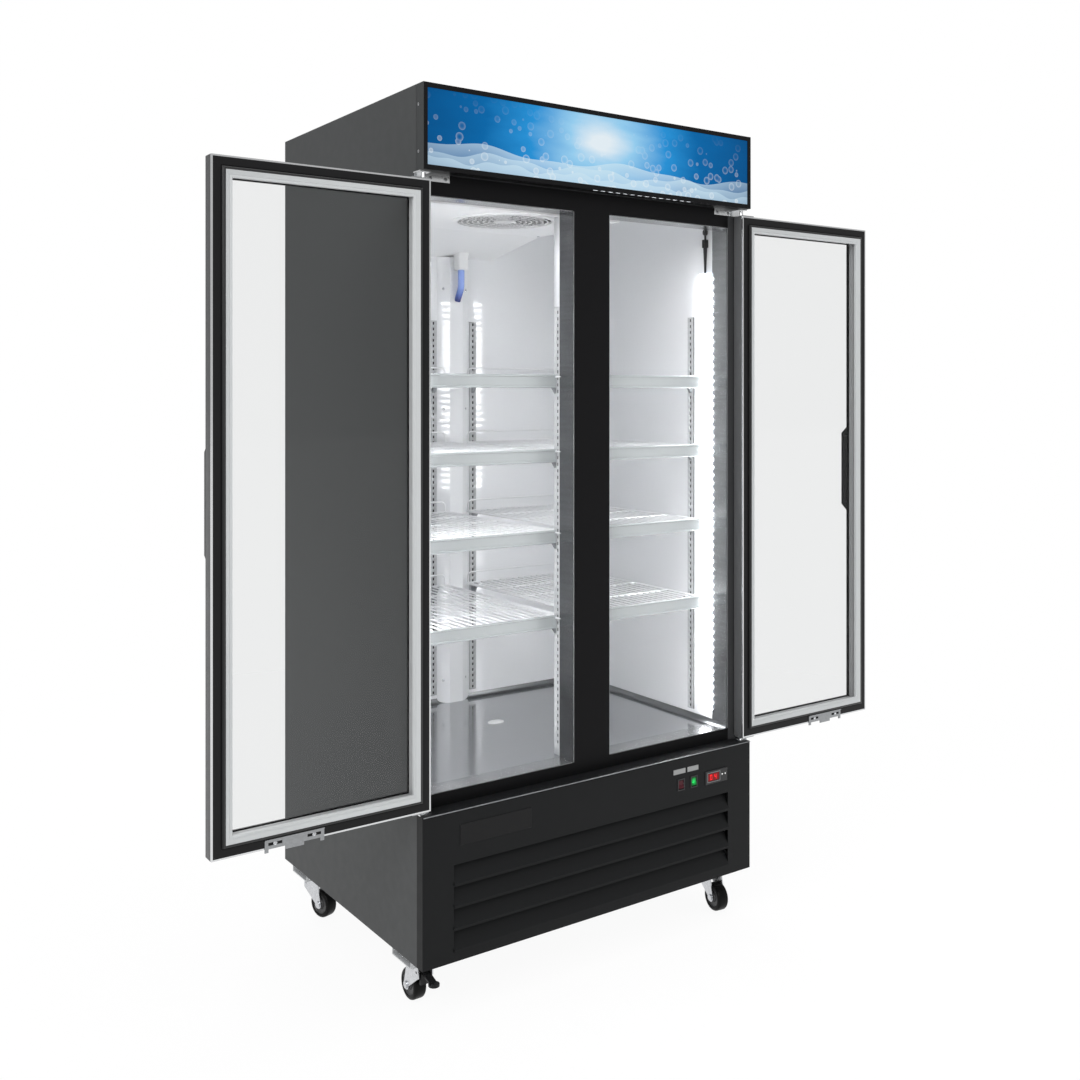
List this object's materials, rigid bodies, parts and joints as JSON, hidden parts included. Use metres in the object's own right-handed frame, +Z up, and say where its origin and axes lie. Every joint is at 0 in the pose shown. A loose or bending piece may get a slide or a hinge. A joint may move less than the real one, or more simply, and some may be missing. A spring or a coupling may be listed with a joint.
{
  "type": "glass door display fridge",
  "caption": "Upright display fridge with two hinged glass doors, wire shelves, a lit header above and a louvred machine base on swivel casters.",
  "frame": {"origin": "centre of the object's box at floor level, under the middle of the cabinet", "axes": "+X to the viewer's right, +Y from the front to the back, +Z up"},
  "size_m": [1.945, 0.77, 2.082],
  "materials": {
    "charcoal_paint": "textured powder coat",
    "galvanised": "zinc coated sheet",
    "foam": "rigid foam",
    "white_liner": "smooth white coat",
    "floor_steel": "satin steel",
    "black_frame": "satin black",
    "breaker_grey": "gloss dark grey",
    "black_paint": "satin black coat",
    "light_box_white": "white coat",
    "light_panel": "backlit acrylic",
    "lamp_lens": "opal lens",
    "black_rubber": "matt",
    "control_black": "fine texture",
    "red_rocker": "translucent red",
    "green_rocker": "translucent green",
    "compressor_black": "gloss black enamel",
    "coil_aluminium": "bare fins",
    "fan_grey": "pressed blades",
    "motor_paint": "satin",
    "copper": "bare copper",
    "cover_white": "moulded white",
    "blue_hose": "translucent blue",
    "white_wire": "dip coated",
    "strip_plastic": "clear grey strip",
    "zinc": "bright zinc",
    "door_aluminium": "black anodised",
    "door_glass": "clear",
    "spacer_aluminium": "dark",
    "gasket_grey": "soft grey",
    "handle_black": "fine texture",
    "caster_tyre": "hard black",
    "pedal_black": "moulded"
  },
  "bodies": {
    "cabinet": {"right_side_panel": "charcoal_paint", "left_side_panel": "charcoal_paint", "top_panel": "charcoal_paint", "back_panel": "galvanised", "base_tray": "galvanised", "fan_shroud": "galvanised", "foam_insulation": "foam", "liner_panels": "white_liner", "centre_column": "white_liner", "pilasters": "white_liner", "floor_deck": "floor_steel", "front_frame": "black_frame", "breaker_strips": "breaker_grey", "light_box_frame": "black_paint", "base_cover": "black_paint", "light_box_housing": "light_box_white", "light_box_panel": "light_panel", "led_lamps": "lamp_lens", "lamp_leads": "black_rubber", "control_panel": "control_black", "compressor": "compressor_black", "condenser": "coil_aluminium", "evaporator": "coil_aluminium", "fan_motors": "motor_paint", "refrigerant_pipes": "copper", "evaporator_cover": "cover_white", "fan_guard": "cover_white", "drain_hose": "blue_hose", "wire_shelves": "white_wire", "shelf_guards": "white_wire", "shelf_strips": "strip_plastic", "shelf_clips": "zinc", "hinge_plates": "zinc", "caster_mounts": "zinc"},
    "left_door": {"left_door_frame": "door_aluminium", "left_door_glass": "door_glass", "left_door_spacer": "spacer_aluminium", "left_door_gasket": "gasket_grey", "left_door_handle": "handle_black", "left_door_fittings": "zinc"},
    "right_door": {"right_door_frame": "door_aluminium", "right_door_glass": "door_glass", "right_door_spacer": "spacer_aluminium", "right_door_gasket": "gasket_grey", "right_door_handle": "handle_black", "right_door_fittings": "zinc"},
    "cooling_rocker": {"cooling_switch": "red_rocker"},
    "lamp_rocker": {"lamp_switch": "green_rocker"},
    "condenser_rotor": {"condenser_fan": "fan_grey"},
    "evaporator_rotor": {"evaporator_fan": "fan_grey"},
    "front_left_swivel": {"front_left_fork": "zinc"},
    "front_left_roller": {"front_left_wheel": "caster_tyre"},
    "front_right_swivel": {"front_right_fork": "zinc"},
    "front_right_roller": {"front_right_wheel": "caster_tyre"},
    "rear_left_swivel": {"rear_left_fork": "zinc"},
    "rear_left_roller": {"rear_left_wheel": "caster_tyre"},
    "rear_right_swivel": {"rear_right_fork": "zinc"},
    "rear_right_roller": {"rear_right_wheel": "caster_tyre"},
    "front_left_pedal": {"front_left_brake": "pedal_black"},
    "front_right_pedal": {"front_right_brake": "pedal_black"}
  },
  "joints": [
    {"name": "left_door_hinge", "type": "hinge", "parent": "cabinet", "child": "left_door", "pos_m": [-0.487, -0.362, 1.172], "axis": [0, 0, 1], "range_deg": [0, 180]},
    {"name": "right_door_hinge", "type": "hinge", "parent": "cabinet", "child": "right_door", "pos_m": [0.487, -0.362, 1.172], "axis": [0, 0, -1], "range_deg": [0, 180]},
    {"name": "cooling_switch_rock", "type": "hinge", "parent": "cabinet", "child": "cooling_rocker", "pos_m": [0.255, -0.3782, 0.393], "axis": [1, 0, 0], "range_deg": [0, 16]},
    {"name": "lamp_switch_rock", "type": "hinge", "parent": "cabinet", "child": "lamp_rocker", "pos_m": [0.299, -0.3782, 0.393], "axis": [1, 0, 0], "range_deg": [0, 16]},
    {"name": "condenser_fan_spin", "type": "hinge", "parent": "cabinet", "child": "condenser_rotor", "pos_m": [-0.12, -0.2602, 0.2512], "axis": [0, 1, 0], "continuous": true},
    {"name": "evaporator_fan_spin", "type": "hinge", "parent": "cabinet", "child": "evaporator_rotor", "pos_m": [-0.12, -0.13, 1.8612], "axis": [0, 0, 1], "continuous": true},
    {"name": "front_left_swivel_turn", "type": "hinge", "parent": "cabinet", "child": "front_left_swivel", "pos_m": [-0.45, -0.28, 0.1], "axis": [0, 0, 1], "continuous": true},
    {"name": "front_left_wheel_spin", "type": "hinge", "parent": "front_left_swivel", "child": "front_left_roller", "pos_m": [-0.45, -0.25, 0.036], "axis": [-1, 0, 0], "continuous": true},
    {"name": "front_left_brake_press", "type": "hinge", "parent": "front_left_swivel", "child": "front_left_pedal", "pos_m": [-0.45, -0.298, 0.0827], "axis": [1, 0, 0], "range_deg": [0, 14]},
    {"name": "front_right_swivel_turn", "type": "hinge", "parent": "cabinet", "child": "front_right_swivel", "pos_m": [0.45, -0.28, 0.1], "axis": [0, 0, 1], "continuous": true},
    {"name": "front_right_wheel_spin", "type": "hinge", "parent": "front_right_swivel", "child": "front_right_roller", "pos_m": [0.44583, -0.30971, 0.036], "axis": [0.9903, -0.1392, 0], "continuous": true},
    {"name": "front_right_brake_press", "type": "hinge", "parent": "front_right_swivel", "child": "front_right_pedal", "pos_m": [0.4525, -0.26217, 0.0827], "axis": [-0.9903, 0.1392, 0], "range_deg": [0, 14]},
    {"name": "rear_left_swivel_turn", "type": "hinge", "parent": "cabinet", "child": "rear_left_swivel", "pos_m": [-0.45, 0.291, 0.1], "axis": [0, 0, 1], "continuous": true},
    {"name": "rear_left_wheel_spin", "type": "hinge", "parent": "rear_left_swivel", "child": "rear_left_roller", "pos_m": [-0.44173, 0.26216, 0.036], "axis": [0.9613, 0.2756, 0], "continuous": true},
    {"name": "rear_right_swivel_turn", "type": "hinge", "parent": "cabinet", "child": "rear_right_swivel", "pos_m": [0.45, 0.291, 0.1], "axis": [0, 0, 1], "continuous": true},
    {"name": "rear_right_wheel_spin", "type": "hinge", "parent": "rear_right_swivel", "child": "rear_right_roller", "pos_m": [0.46026, 0.26281, 0.036], "axis": [0.9397, 0.342, 0], "continuous": true}
  ]
}
